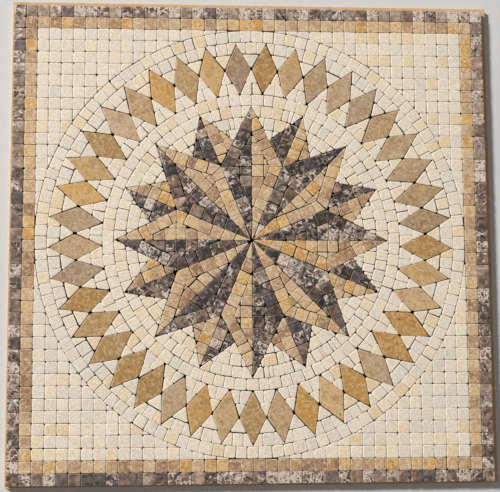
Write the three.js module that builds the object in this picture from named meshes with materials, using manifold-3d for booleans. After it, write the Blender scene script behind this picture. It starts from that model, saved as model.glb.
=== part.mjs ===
// A square mosaic panel of small stone tiles on a thin board: a sixteen-point compass star in dark and gold
// stone, a ring of gold diamonds between two cream rings, four cream corner fields and two border rows.
// Millimetres. The panel lies face up: +Z out of the tiles, +Y towards the top of the picture, +X to its right.
// The origin is the centre of the board's underside.

import * as THREE from "three";
import { mergeVertices } from "three/addons/utils/BufferGeometryUtils.js";
import Module from "manifold-3d";

// Board and bedding
const BOARD_THICKNESS = 9;
const BED_THICKNESS = 1;
const BED_MARGIN = 1.2; // how far the bedding stays inside the edge of the tiles
const LEDGE_LEFT = 2.9; // bare board beside the tiles, a little uneven as laid by hand
const LEDGE_RIGHT = 6.7;
const LEDGE_TOP = 6.6;
const LEDGE_BOTTOM = 3;

// Tiles
const TILE_PITCH = 15;
const TILE_THICKNESS = 8;
const TILES_PER_SIDE = 40;
const JOINT_WIDTH = 0.8; // open joint between two pieces
const GROOVE_WIDTH = 1; // the same joint where it is cut into a fused run of tiles
const GROOVE_DEPTH = 1.2;

// Rings and diamonds, from the border inwards
const OUTER_RING_WIDTH = 15;
const OUTER_RING_TILES = 113;
const TIP_SETBACK = 1.3; // from the outer ring to the diamonds' outer tips
const DIAMOND_COUNT = 41;
const DIAMOND_LENGTH = 66.8;
const DIAMOND_NECK = 3; // length of the edge on which two diamonds meet
const INNER_RING_WIDTH = 14.5;
const INNER_RING_TILES = 79;
const CORNER_SLIVER = 3; // narrowest strip that a corner field is cut down to

// Star
const FRONT_POINTS = 8;
const STAR_SETBACK = 0.9; // from the inner ring to the star's tips
const FRONT_WAIST_RADIUS = 102; // where two front points part
const REAR_NOTCH_ANGLE = 10; // from a front point's axis to the notch beside it, in degrees
const STAR_EYE_RADIUS = 3.2; // the small open spot at the centre

// Sizes that follow from those above
const FIELD_SIDE = TILES_PER_SIDE * TILE_PITCH;
const HALF_FIELD = FIELD_SIDE / 2;
const OUTER_RING_RADIUS = HALF_FIELD - 2 * TILE_PITCH;
const OUTER_TIP_RADIUS = OUTER_RING_RADIUS - OUTER_RING_WIDTH - TIP_SETBACK;
const WAIST_RADIUS = OUTER_TIP_RADIUS - DIAMOND_LENGTH / 2;
const INNER_RING_RADIUS = OUTER_TIP_RADIUS - DIAMOND_LENGTH;
const STAR_RADIUS = INNER_RING_RADIUS - INNER_RING_WIDTH - STAR_SETBACK;
const POINT_PITCH = 360 / FRONT_POINTS;
const HALF_JOINT = JOINT_WIDTH / 2;
const UP = new THREE.Vector3(0, 0, 1);

const STONE = { roughness: 0.6, metalness: 0 };
const MATERIALS = {
  board: new THREE.MeshStandardMaterial({ color: 0xd9ae78, roughness: 0.8, metalness: 0 }),
  bed: new THREE.MeshStandardMaterial({ color: 0x2c2723, roughness: 0.9, metalness: 0 }),
  dark: new THREE.MeshStandardMaterial({ color: 0x64524b, ...STONE }),
  gold: new THREE.MeshStandardMaterial({ color: 0xcba878, ...STONE }),
  cream: new THREE.MeshStandardMaterial({ color: 0xe9dec9, ...STONE }),
  diamond: new THREE.MeshStandardMaterial({ color: 0xc09a68, ...STONE }),
};

const wasm = await Module();
wasm.setup();

/** A point at a radius and an angle in degrees, clockwise from the top of the picture. */
function polar(radius, degrees) {
  const angle = THREE.MathUtils.degToRad(degrees);
  return new THREE.Vector2(radius * Math.sin(angle), radius * Math.cos(angle));
}

/** The outline of a rectangle between two opposite corners. */
function rectangle(left, bottom, right, top) {
  return [
    new THREE.Vector2(left, bottom),
    new THREE.Vector2(right, bottom),
    new THREE.Vector2(right, top),
    new THREE.Vector2(left, top),
  ];
}

/** A closed outline that alternates between two radii, the second one half a pitch on. */
function zigzag(count, tipRadius, valleyRadius, start) {
  const pitch = 360 / count;
  const outline = [];
  for (let i = 0; i < count; i += 1) {
    outline.push(polar(tipRadius, start + i * pitch));
    outline.push(polar(valleyRadius, start + (i + 0.5) * pitch));
  }
  return outline;
}

/** The unit normal that points into an outline from one of its sides; turn is the sign of its area. */
function inward(from, to, turn) {
  const along = to.clone().sub(from).normalize();
  return new THREE.Vector2(-along.y * turn, along.x * turn);
}

/** Moves every side of a closed outline inwards by a distance; a negative distance moves it outwards. */
function inset(outline, distance) {
  const turn = Math.sign(THREE.ShapeUtils.area(outline));
  return outline.map((corner, i) => {
    const first = inward(outline.at(i - 1), corner, turn);
    const second = inward(corner, outline[(i + 1) % outline.length], turn);
    const reach = distance / (1 + first.dot(second));
    return first.add(second).multiplyScalar(reach).add(corner);
  });
}

/** Where two straight lines cross, each given by two of its points. */
function crossing(a, b, c, d) {
  const first = b.clone().sub(a);
  const second = d.clone().sub(c);
  const share = c.clone().sub(a).cross(second) / first.cross(second);
  return first.multiplyScalar(share).add(a);
}

/** A flat slab of the given thickness over an outline, with optional holes. */
function slab(outline, thickness, holes = []) {
  const anticlockwise = THREE.ShapeUtils.isClockWise(outline) ? outline.toReversed() : outline;
  const shape = new THREE.Shape(anticlockwise);
  shape.holes = holes.map((hole) => new THREE.Path(hole));
  return new THREE.ExtrudeGeometry(shape, { depth: thickness, bevelEnabled: false });
}

/** A stone slab whose sides stand half a joint inside a nominal outline and half a joint outside a hole. */
function stone(outline, hole = null) {
  const holes = hole ? [inset(hole, -HALF_JOINT)] : [];
  return slab(inset(outline, HALF_JOINT), TILE_THICKNESS, holes);
}

/** A boolean solid made from a closed three.js geometry. */
function toSolid(geometry) {
  geometry.deleteAttribute("normal");
  geometry.deleteAttribute("uv");
  const merged = mergeVertices(geometry, 1e-4);
  const vertProperties = merged.getAttribute("position").array;
  const triVerts = new Uint32Array(merged.getIndex().array);
  return new wasm.Manifold(new wasm.Mesh({ numProp: 3, vertProperties, triVerts }));
}

/** A three.js geometry made from a boolean solid. */
function toGeometry(solid) {
  const { vertProperties, triVerts } = solid.getMesh();
  const geometry = new THREE.BufferGeometry();
  geometry.setAttribute("position", new THREE.BufferAttribute(vertProperties, 3));
  geometry.setIndex(new THREE.BufferAttribute(triVerts, 1));
  geometry.computeVertexNormals();
  return geometry;
}

/** A V-shaped cutter lying in the tiles' face along a straight joint. */
function grooveCutter(from, to) {
  const section = new THREE.Shape([
    new THREE.Vector2(0, -GROOVE_DEPTH),
    new THREE.Vector2(GROOVE_WIDTH, GROOVE_DEPTH),
    new THREE.Vector2(-GROOVE_WIDTH, GROOVE_DEPTH),
  ]);
  const depth = from.distanceTo(to);
  const cutter = new THREE.ExtrudeGeometry(section, { depth, bevelEnabled: false });
  const along = new THREE.Vector3(to.x - from.x, to.y - from.y, 0).normalize();
  const across = new THREE.Vector3().crossVectors(UP, along);
  const place = new THREE.Matrix4().makeBasis(across, UP, along);
  place.setPosition(from.x, from.y, TILE_THICKNESS);
  return cutter.applyMatrix4(place);
}

/** Cuts the joints between fused tiles into a slab; each joint is a pair of points. */
function withJoints(geometry, joints) {
  let solid = toSolid(geometry);
  for (const [from, to] of joints) {
    solid = solid.subtract(toSolid(grooveCutter(from, to)));
  }
  return toGeometry(solid);
}

/** The radial joints of a ring of tiles; the outer end runs out past the ring's edge. */
function radialJoints(count, innerRadius, outerRadius) {
  const joints = [];
  for (let i = 0; i < count; i += 1) {
    const angle = (i * 360) / count;
    joints.push([polar(innerRadius, angle), polar(outerRadius, angle)]);
  }
  return joints;
}

/** One straight run of border tiles; row counts from the edge of the field, and side is 0 to 3. */
function borderRun(row, side) {
  const outer = HALF_FIELD - row * TILE_PITCH;
  const inner = outer - TILE_PITCH;
  const upright = side % 2 === 1;
  const end = upright ? inner : outer; // the upright runs stand between the two level ones
  const geometry = stone(rectangle(-end, inner, end, outer));
  const joints = [];
  for (let x = -end + TILE_PITCH; x < end - TILE_PITCH / 2; x += TILE_PITCH) {
    joints.push([new THREE.Vector2(x, inner - TILE_PITCH), new THREE.Vector2(x, outer + TILE_PITCH)]);
  }
  return withJoints(geometry, joints).rotateZ((-side * Math.PI) / 2);
}

/** The cream field between the border and the outer ring at the top right corner. */
function cornerField() {
  const straight = OUTER_RING_RADIUS;
  const start = THREE.MathUtils.radToDeg(Math.acos((straight - CORNER_SLIVER) / straight));
  const steps = Math.round((OUTER_RING_TILES / 360) * (90 - 2 * start));
  const outline = [new THREE.Vector2(straight, straight)];
  outline.push(new THREE.Vector2(straight * Math.sin(THREE.MathUtils.degToRad(start)), straight));
  for (let i = 0; i <= steps; i += 1) {
    outline.push(polar(OUTER_RING_RADIUS, start + (i / steps) * (90 - 2 * start)));
  }
  outline.push(new THREE.Vector2(straight, straight * Math.sin(THREE.MathUtils.degToRad(start))));
  return stone(outline);
}

/** The joint between the diamonds and the cream tiles outside them. */
function outerSeam() {
  const half = 180 / DIAMOND_COUNT;
  return zigzag(DIAMOND_COUNT, OUTER_TIP_RADIUS, WAIST_RADIUS + DIAMOND_NECK / 2, half);
}

/** The joint between the diamonds and the cream tiles inside them. */
function innerSeam() {
  const half = 180 / DIAMOND_COUNT;
  return zigzag(DIAMOND_COUNT, INNER_RING_RADIUS, WAIST_RADIUS - DIAMOND_NECK / 2, half);
}

/** The outer ring of square tiles, with the small cream tiles that fill in between the diamonds. */
function outerRing() {
  const outline = [];
  for (let i = 0; i < OUTER_RING_TILES; i += 1) {
    outline.push(polar(OUTER_RING_RADIUS, ((i + 0.5) * 360) / OUTER_RING_TILES));
  }
  const inner = OUTER_RING_RADIUS - OUTER_RING_WIDTH;
  const joints = radialJoints(OUTER_RING_TILES, inner, OUTER_RING_RADIUS + JOINT_WIDTH);
  return withJoints(stone(outline, outerSeam()), joints);
}

/** The notch between a front point at 0 degrees and the rear point clockwise of it. */
function notch() {
  const tip = polar(STAR_RADIUS, 0);
  const waist = polar(FRONT_WAIST_RADIUS, POINT_PITCH / 2);
  return crossing(tip, waist, new THREE.Vector2(0, 0), polar(STAR_RADIUS, REAR_NOTCH_ANGLE));
}

/** The star's outline: the tips of all its points, with the notches between them. */
function starOutline() {
  const notchRadius = notch().length();
  const outline = [];
  for (let i = 0; i < FRONT_POINTS; i += 1) {
    const axis = i * POINT_PITCH;
    outline.push(polar(STAR_RADIUS, axis));
    outline.push(polar(notchRadius, axis + REAR_NOTCH_ANGLE));
    outline.push(polar(STAR_RADIUS, axis + POINT_PITCH / 2));
    outline.push(polar(notchRadius, axis + POINT_PITCH - REAR_NOTCH_ANGLE));
  }
  return outline;
}

/** The inner ring, with the cream tiles between it and the diamonds and between it and the star. */
function starSurround() {
  const inner = INNER_RING_RADIUS - INNER_RING_WIDTH;
  const joints = radialJoints(INNER_RING_TILES, inner, INNER_RING_RADIUS);
  return withJoints(stone(innerSeam(), starOutline()), joints);
}

/** Half of a front point whose axis is at 0 degrees; side is 1 clockwise of the axis and -1 before it. */
function frontHalf(side) {
  const valley = (side * POINT_PITCH) / 2;
  return stone([
    polar(STAR_EYE_RADIUS, 0),
    polar(STAR_RADIUS, 0),
    polar(FRONT_WAIST_RADIUS, valley),
    polar(STAR_EYE_RADIUS, valley),
  ]);
}

/** Half of a rear point whose axis is at 0 degrees, between the flanks of two front points. */
function rearHalf(side) {
  const shoulder = POINT_PITCH / 2 - REAR_NOTCH_ANGLE;
  return stone([
    polar(FRONT_WAIST_RADIUS, 0),
    polar(STAR_RADIUS, 0),
    polar(notch().length(), side * shoulder),
  ]);
}

/** A named piece of the panel in one of its materials. */
function piece(name, geometry, material) {
  const mesh = new THREE.Mesh(geometry, MATERIALS[material].clone());
  mesh.name = name;
  return mesh;
}

/** The board, flat on its underside, and the thin bedding that the tiles are pressed into. */
function backing(centre) {
  const group = new THREE.Group();
  const halfWidth = (FIELD_SIDE + LEDGE_LEFT + LEDGE_RIGHT) / 2;
  const halfHeight = (FIELD_SIDE + LEDGE_TOP + LEDGE_BOTTOM) / 2;
  const sheet = rectangle(-halfWidth, -halfHeight, halfWidth, halfHeight);
  group.add(piece("backing_board", slab(sheet, BOARD_THICKNESS), "board"));

  const half = HALF_FIELD - BED_MARGIN;
  const bed = piece("adhesive_bed", slab(rectangle(-half, -half, half, half), BED_THICKNESS), "bed");
  bed.position.set(centre.x, centre.y, BOARD_THICKNESS);
  group.add(bed);
  return group;
}

/** The two border rows and the four corner fields. */
function surrounds() {
  const group = new THREE.Group();
  ["top", "right", "bottom", "left"].forEach((place, side) => {
    group.add(piece(`dark_border_${place}`, borderRun(0, side), "dark"));
    group.add(piece(`gold_border_${place}`, borderRun(1, side), "gold"));
  });
  ["top_right", "bottom_right", "bottom_left", "top_left"].forEach((place, turn) => {
    const field = cornerField().rotateZ((-turn * Math.PI) / 2);
    group.add(piece(`corner_field_${place}`, field, "cream"));
  });
  return group;
}

/** The star's points, each in a dark half and a gold half. */
function star() {
  const group = new THREE.Group();
  const halves = { dark: -1, gold: 1 };
  for (let i = 0; i < FRONT_POINTS; i += 1) {
    const turn = THREE.MathUtils.degToRad(-i * POINT_PITCH);
    const halfTurn = THREE.MathUtils.degToRad(-(i + 0.5) * POINT_PITCH);
    for (const [colour, side] of Object.entries(halves)) {
      const front = frontHalf(side).rotateZ(turn);
      const rear = rearHalf(side).rotateZ(halfTurn);
      group.add(piece(`front_point_${i + 1}_${colour}`, front, colour));
      group.add(piece(`rear_point_${i + 1}_${colour}`, rear, colour));
    }
  }
  return group;
}

/** The whole panel. */
function panel() {
  const group = new THREE.Group();
  const centre = new THREE.Vector2((LEDGE_LEFT - LEDGE_RIGHT) / 2, (LEDGE_BOTTOM - LEDGE_TOP) / 2);
  group.add(backing(centre));

  const mosaic = new THREE.Group();
  mosaic.position.set(centre.x, centre.y, BOARD_THICKNESS + BED_THICKNESS);
  mosaic.add(surrounds());
  mosaic.add(piece("outer_ring", outerRing(), "cream"));
  mosaic.add(piece("diamond_band", stone(outerSeam(), innerSeam()), "diamond"));
  mosaic.add(piece("star_surround", starSurround(), "cream"));
  mosaic.add(star());
  group.add(mosaic);
  return group;
}

export default panel();
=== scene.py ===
"""A square stone mosaic panel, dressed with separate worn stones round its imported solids.

The panel lies face up, in metres: +Z out of the tiles, +Y towards the top of the picture, +X to its right.
Every area of tiles starts as flat faces that are sawn along the joints. The faces then part, shrink by the
joint, get worn corners and sides, are thickened down to the bedding and have their rims rounded.
"""

from __future__ import annotations

import logging
import math
import random
import zlib
from dataclasses import dataclass, field
from enum import Enum
from typing import Any, Callable, Iterable, Sequence

import bmesh
import bpy
from bmesh.types import BMEdge, BMFace, BMVert
from mathutils import Euler, Matrix, Vector, noise


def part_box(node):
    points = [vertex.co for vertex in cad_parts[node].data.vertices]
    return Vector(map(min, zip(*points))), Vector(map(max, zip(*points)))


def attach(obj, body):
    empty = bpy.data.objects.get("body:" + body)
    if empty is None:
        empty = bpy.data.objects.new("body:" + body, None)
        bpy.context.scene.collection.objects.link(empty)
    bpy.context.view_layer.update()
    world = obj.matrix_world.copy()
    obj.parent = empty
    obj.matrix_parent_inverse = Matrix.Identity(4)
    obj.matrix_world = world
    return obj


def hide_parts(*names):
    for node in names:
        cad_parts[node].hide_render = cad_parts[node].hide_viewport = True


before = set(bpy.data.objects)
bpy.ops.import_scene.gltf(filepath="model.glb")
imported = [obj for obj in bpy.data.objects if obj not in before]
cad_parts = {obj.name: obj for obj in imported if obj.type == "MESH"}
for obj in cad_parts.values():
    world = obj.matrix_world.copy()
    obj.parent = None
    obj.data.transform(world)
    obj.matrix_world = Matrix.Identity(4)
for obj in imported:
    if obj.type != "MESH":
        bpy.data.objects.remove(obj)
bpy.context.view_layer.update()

LOG = logging.getLogger("mosaic_panel")
MM = 0.001
CUT_TOLERANCE = 1e-7
ORIGIN = Vector((0, 0, 0))
UP_THE_PANEL = Vector((0, 1, 0))
Socket = bpy.types.NodeSocket
Colour = tuple[float, float, float]


def mm(*lengths: float) -> tuple[float, ...]:
    """Turns lengths in millimetres into metres."""
    return tuple(length * MM for length in lengths)


def paint(red: int, green: int, blue: int) -> Colour:
    """Turns a colour in display values from 0 to 255 into the linear values that a shader takes."""
    shares = (red / 255, green / 255, blue / 255)
    return tuple(c / 12.92 if c <= 0.04045 else ((c + 0.055) / 1.055) ** 2.4 for c in shares)


def polar(radius: float, degrees: float) -> Vector:
    """Gives the point at a radius and an angle, clockwise from the top of the picture."""
    angle = math.radians(degrees)
    return Vector((radius * math.sin(angle), radius * math.cos(angle), 0))


def beside(start: Vector, end: Vector, towards: Vector) -> Vector:
    """Gives the unit normal of a line in the panel's face, on the side that a point lies on.

    Args:
        start: One point of the line.
        end: Another point of the line.
        towards: A point off the line.

    Returns:
        The normal that points to the side of the third point.
    """
    along = (end - start).normalized()
    normal = Vector((-along.y, along.x, 0))
    return normal if normal.dot(towards - start) > 0 else -normal


def whole(mesh: bmesh.types.BMesh) -> list[BMVert | BMEdge | BMFace]:
    """Gives all points, edges and faces of a mesh."""
    return [*mesh.verts, *mesh.edges, *mesh.faces]


def link_object(name: str, data: bpy.types.ID) -> bpy.types.Object:
    """Makes an object of its data and links it to the scene."""
    made = bpy.data.objects.new(name, data)
    bpy.context.scene.collection.objects.link(made)
    return made


class Sketch:
    """Adds and links the nodes of one node tree."""

    def __init__(self, tree: bpy.types.NodeTree) -> None:
        """Starts on an emptied tree."""
        self.tree = tree
        tree.nodes.clear()

    def node(
        self, kind: str, inputs: dict[str | int, Any] | None = None, **settings: Any
    ) -> bpy.types.Node:
        """Adds a node.

        Args:
            kind: The node's type, without the words ShaderNode.
            inputs: Sockets by name or number, each with a value or with an output to link.
            settings: The node's own properties.

        Returns:
            The new node.
        """
        made = self.tree.nodes.new(kind if kind.startswith("Node") else "ShaderNode" + kind)
        for name, value in settings.items():
            setattr(made, name, value)
        for name, value in (inputs or {}).items():
            if isinstance(value, Socket):
                self.tree.links.new(value, made.inputs[name])
            else:
                made.inputs[name].default_value = value
        return made

    def math(self, operation: str, *values: Any, clamp: bool = False) -> Socket:
        """Adds a Math node and gives its result."""
        return self.node("Math", dict(enumerate(values)), operation=operation, use_clamp=clamp).outputs[0]

    def vector(self, operation: str, first: Any, second: Any) -> Socket:
        """Adds a Vector Math node with two vectors and gives its result."""
        return self.node("VectorMath", {0: first, 1: second}, operation=operation).outputs[0]

    def scaled(self, vector: Socket, factor: Any) -> Socket:
        """Scales a vector."""
        return self.node("VectorMath", {0: vector, "Scale": factor}, operation="SCALE").outputs[0]

    def noise(self, vector: Socket, scale: Any, detail: float = 3.0, roughness: float = 0.55) -> Socket:
        """Adds a Noise Texture and gives its value."""
        values = {"Vector": vector, "Scale": scale, "Detail": detail, "Roughness": roughness}
        return self.node("TexNoise", values).outputs["Fac"]

    def span(self, value: Socket, low: Any, high: Any, to_low: Any = 0.0, to_high: Any = 1.0) -> Socket:
        """Maps a value smoothly from one range to another, clamped."""
        inputs = {"Value": value, "From Min": low, "From Max": high, "To Min": to_low, "To Max": to_high}
        return self.node("MapRange", inputs, interpolation_type="SMOOTHSTEP").outputs["Result"]

    def mix(self, factor: Any, first: Any, second: Any, blend: str = "MIX") -> Socket:
        """Mixes two colours."""
        first, second = (c if isinstance(c, Socket) else (*c, 1.0) for c in (first, second))
        made = self.node("Mix", {"Factor": factor, 6: first, 7: second}, data_type="RGBA", blend_type=blend)
        return made.outputs[2]

    def tint(self, base: Socket, colour: Colour, mask: Socket, strength: Any) -> Socket:
        """Lays a colour over another where a mask shows."""
        return self.mix(self.math("MULTIPLY", mask, strength), base, colour)

    def veil(
        self, base: Socket, colour: Colour, value: Socket, low: float, high: float, strength: Any
    ) -> Socket:
        """Lays a colour over another more and more as a value goes from low to high."""
        return self.mix(self.span(value, low, high, 0.0, strength), base, colour)

    def ramp(self, value: Socket, stops: Sequence[tuple[float, Colour]]) -> Socket:
        """Adds a Color Ramp over the given stops and gives its colour."""
        made = self.node("ValToRGB", {"Fac": value})
        elements = made.color_ramp.elements
        while len(elements) < len(stops):
            elements.new(1.0)
        for element, (place, colour) in zip(elements, stops):
            element.position = place
            element.color = (*colour, 1.0)
        return made.outputs["Color"]

    def stored(self, name: str, output: str = "Fac") -> Socket:
        """Reads a value that the mesh carries."""
        return self.node("Attribute", attribute_name=name).outputs[output]

    def object_place(self) -> Socket:
        """Reads the Object coordinates."""
        return self.node("TexCoord").outputs["Object"]

    def surface(
        self, colour: Socket, roughness: Any, height: Socket | None, depth: float, specular: float
    ) -> None:
        """Finishes a material with a Principled shader.

        Args:
            colour: The base colour.
            roughness: The roughness, from a node or plain.
            height: The relief, from 0 to 1, or None for a smooth surface.
            depth: How far a full step of the relief goes, in metres.
            specular: The plain specular level.
        """
        inputs = {"Base Color": colour, "Roughness": roughness, "Specular IOR Level": specular}
        if height is not None:
            bump = self.node("Bump", {"Strength": 1.0, "Distance": depth, "Height": height})
            inputs["Normal"] = bump.outputs["Normal"]
        shader = self.node("BsdfPrincipled", inputs)
        self.node("OutputMaterial", {"Surface": shader.outputs["BSDF"]})


class Effect(Enum):
    """The shader groups that several finishes share."""

    MOTTLE = "mottle"
    VEIN_WEB = "vein_web"
    PITS = "pits"
    RIM_SOIL = "rim_soil"
    # Pale rim crest: partly edge wear, partly painted highlight.
    RIM_WEAR_AND_HIGHLIGHT = "rim_wear"

    def group(self) -> bpy.types.NodeTree:
        """Gives the group, built on first use."""
        return bpy.data.node_groups.get(self.value) or EFFECT_BUILDERS[self]()

    def place(self, sketch: Sketch, **inputs: Any) -> Socket:
        """Places the group in a tree with its own values and gives its mask or value."""
        made = sketch.node("Group", node_tree=self.group())
        for name, value in inputs.items():
            socket = made.inputs[name.replace("_", " ").title()]
            if isinstance(value, Socket):
                sketch.tree.links.new(value, socket)
            else:
                socket.default_value = value
        return made.outputs[0]


def start_group(effect: Effect, numbers: Iterable[str]) -> tuple[Sketch, dict[str, Socket]]:
    """Starts a shader group with a Vector input, some numbers and one value out.

    Args:
        effect: The effect that the group makes.
        numbers: Names of the inputs after the vector.

    Returns:
        The sketch of the group's tree, and its inputs by name.
    """
    tree = bpy.data.node_groups.new(effect.value, "ShaderNodeTree")
    tree.interface.new_socket("Vector", in_out="INPUT", socket_type="NodeSocketVector")
    for name in numbers:
        tree.interface.new_socket(name, in_out="INPUT", socket_type="NodeSocketFloat")
    tree.interface.new_socket("Value", in_out="OUTPUT", socket_type="NodeSocketFloat")
    sketch = Sketch(tree)
    entry = sketch.node("NodeGroupInput")
    return sketch, {socket.name: socket for socket in entry.outputs if socket.name}


def finish_group(sketch: Sketch, value: Socket) -> bpy.types.NodeTree:
    """Links the value out of a group and gives its tree."""
    sketch.node("NodeGroupOutput", {"Value": value})
    return sketch.tree


def build_mottle() -> bpy.types.NodeTree:
    """Builds soft clouds with a fine grain in them, round 0.5."""
    sketch, given = start_group(Effect.MOTTLE, ["Scale", "Grain"])
    clouds = sketch.noise(given["Vector"], given["Scale"], detail=3.0, roughness=0.6)
    fine = sketch.noise(given["Vector"], sketch.math("MULTIPLY", given["Scale"], 9.0), detail=2.0)
    weighted = sketch.math("MULTIPLY_ADD", sketch.math("SUBTRACT", fine, 0.5), given["Grain"], clouds)
    return finish_group(sketch, sketch.span(weighted, 0.2, 0.8))


def build_vein_web() -> bpy.types.NodeTree:
    """Builds a broken web of thin veins between crushed fragments."""
    sketch, given = start_group(Effect.VEIN_WEB, ["Scale", "Warp", "Width", "Cover"])
    drift = sketch.node("TexNoise", {"Vector": given["Vector"], "Scale": given["Scale"], "Detail": 2.0})
    centred = sketch.vector("SUBTRACT", drift.outputs["Color"], (0.5, 0.5, 0.5))
    warped = sketch.vector("ADD", given["Vector"], sketch.scaled(centred, given["Warp"]))
    values = {"Vector": warped, "Scale": given["Scale"]}
    cells = sketch.node("TexVoronoi", values, feature="DISTANCE_TO_EDGE")
    line = sketch.span(cells.outputs["Distance"], 0.0, given["Width"], 1.0, 0.0)
    patches = sketch.noise(given["Vector"], sketch.math("MULTIPLY", given["Scale"], 0.6), detail=2.0)
    closed = sketch.math("SUBTRACT", 1.0, given["Cover"])
    shown = sketch.span(patches, closed, sketch.math("ADD", closed, 0.15))
    return finish_group(sketch, sketch.math("MULTIPLY", line, shown))


def build_pits() -> bpy.types.NodeTree:
    """Builds small round pits of uneven size."""
    sketch, given = start_group(Effect.PITS, ["Scale", "Size"])
    cells = sketch.node("TexVoronoi", {"Vector": given["Vector"], "Scale": given["Scale"]})
    chance = sketch.noise(given["Vector"], sketch.math("MULTIPLY", given["Scale"], 0.45), detail=1.0)
    radius = sketch.math("MULTIPLY", sketch.span(chance, 0.45, 0.75), given["Size"])
    inner = sketch.math("MULTIPLY", radius, 0.5)
    mask = sketch.span(cells.outputs["Distance"], inner, sketch.math("ADD", radius, 0.001), 1.0, 0.0)
    return finish_group(sketch, mask)


def build_rim_soil() -> bpy.types.NodeTree:
    """Builds the soil that clings to a stone's sides and creeps over its rim."""
    sketch, given = start_group(Effect.RIM_SOIL, ["Rim"])
    uneven = sketch.noise(given["Vector"], 240.0, detail=3.0, roughness=0.65)
    edge = sketch.math("MULTIPLY_ADD", sketch.math("SUBTRACT", uneven, 0.5), 0.8, given["Rim"])
    return finish_group(sketch, sketch.span(edge, 0.3, 0.95))


def build_rim_wear_and_highlight() -> bpy.types.NodeTree:
    """Builds a pale rim crest, broken here and there: partly edge wear, partly painted highlight."""
    sketch, given = start_group(Effect.RIM_WEAR_AND_HIGHLIGHT, ["Rim"])
    rising = sketch.span(given["Rim"], 0.14, 0.34)
    falling = sketch.span(given["Rim"], 0.42, 0.66, 1.0, 0.0)
    broken = sketch.span(sketch.noise(given["Vector"], 300.0, detail=3.0, roughness=0.65), 0.35, 0.6)
    return finish_group(sketch, sketch.math("MULTIPLY", sketch.math("MULTIPLY", rising, falling), broken))


EFFECT_BUILDERS: dict[Effect, Callable[[], bpy.types.NodeTree]] = {
    Effect.MOTTLE: build_mottle,
    Effect.VEIN_WEB: build_vein_web,
    Effect.PITS: build_pits,
    Effect.RIM_SOIL: build_rim_soil,
    Effect.RIM_WEAR_AND_HIGHLIGHT: build_rim_wear_and_highlight,
}


@dataclass(frozen=True)
class Finish:
    """A finish of one kind of piece, with the slot that it stands for."""

    name: str
    slot: str

    def material(self) -> bpy.types.Material:
        """Gives the material, built on first use."""
        made = bpy.data.materials.get(self.name)
        if made is None:
            made = bpy.data.materials.new(self.name)
            made.use_nodes = True
            self.draw(Sketch(made.node_tree))
        return made

    def draw(self, sketch: Sketch) -> None:
        """Draws the material's nodes."""
        raise NotImplementedError


@dataclass(frozen=True)
class StoneFinish(Finish):
    """A finish of stones whose tone and vein differ from one to the next.

    The mesh carries a tone from 0 to 1 and a grain offset for each stone, and a rim value that is 0 on
    the top and 1 down its sides. The cast is the colour that some stones are multiplied by.
    """

    stops: tuple[tuple[float, Colour], ...] = ()
    cast: Colour = (1.0, 0.93, 0.9)
    cloud_scale: float = 60.0
    cloud_reach: float = 0.35
    soil: Colour = (0.2, 0.15, 0.1)
    soil_strength: float = 0.5
    # Pale colour laid on the rim crest, and how strongly: partly edge wear, partly painted highlight.
    wear_and_highlight_colour: Colour = paint(240, 228, 208)
    wear_and_highlight_strength: float = 0.4
    roughness: float = 0.6
    specular: float = 0.35
    bump_depth: float = 0.15 * MM

    def draw(self, sketch: Sketch) -> None:
        """Draws clouds over the stone's own tone, then its veins and pits, and soil down its sides."""
        place = sketch.object_place()
        offset = sketch.stored("grain", "Vector")
        chance = sketch.node("TexWhiteNoise", {"Vector": offset}).outputs["Color"]
        own = list(sketch.node("SeparateColor", {"Color": chance}).outputs)
        grain = sketch.vector("ADD", place, offset)
        mottle = Effect.MOTTLE.place(sketch, vector=grain, scale=self.cloud_scale, grain=0.45)
        swing = sketch.math("MULTIPLY", sketch.math("SUBTRACT", mottle, 0.5), self.cloud_reach)
        tone = sketch.math("ADD", sketch.stored("tone"), swing, clamp=True)
        base = sketch.mix(own[0], sketch.ramp(tone, self.stops), self.cast, blend="MULTIPLY")
        colour, height = self.mark(sketch, grain, base, mottle, own[1:])
        rim = sketch.stored("rim")
        # Pale rim crest: partly edge wear, partly a painted highlight that stands in for light on the rims.
        crest_wear_and_highlight = Effect.RIM_WEAR_AND_HIGHLIGHT.place(sketch, vector=place, rim=rim)
        worn_and_highlighted = sketch.tint(colour, self.wear_and_highlight_colour, crest_wear_and_highlight, self.wear_and_highlight_strength)
        soil = Effect.RIM_SOIL.place(sketch, vector=place, rim=rim)
        soiled = sketch.tint(worn_and_highlighted, self.soil, soil, self.soil_strength)
        rough = sketch.span(mottle, 0.0, 1.0, self.roughness - 0.08, self.roughness + 0.1)
        sketch.surface(soiled, rough, height, self.bump_depth, self.specular)

    def mark(
        self, sketch: Sketch, grain: Socket, base: Socket, mottle: Socket, own: Sequence[Socket]
    ) -> tuple[Socket, Socket]:
        """Draws the stone's veins and pits.

        Args:
            sketch: The material's tree.
            grain: Coordinates that differ from stone to stone.
            base: The colour so far.
            mottle: The clouds, from 0 to 1.
            own: Two chance values from 0 to 1, the same all over one stone.

        Returns:
            The new colour, and the relief.
        """
        raise NotImplementedError


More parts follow.
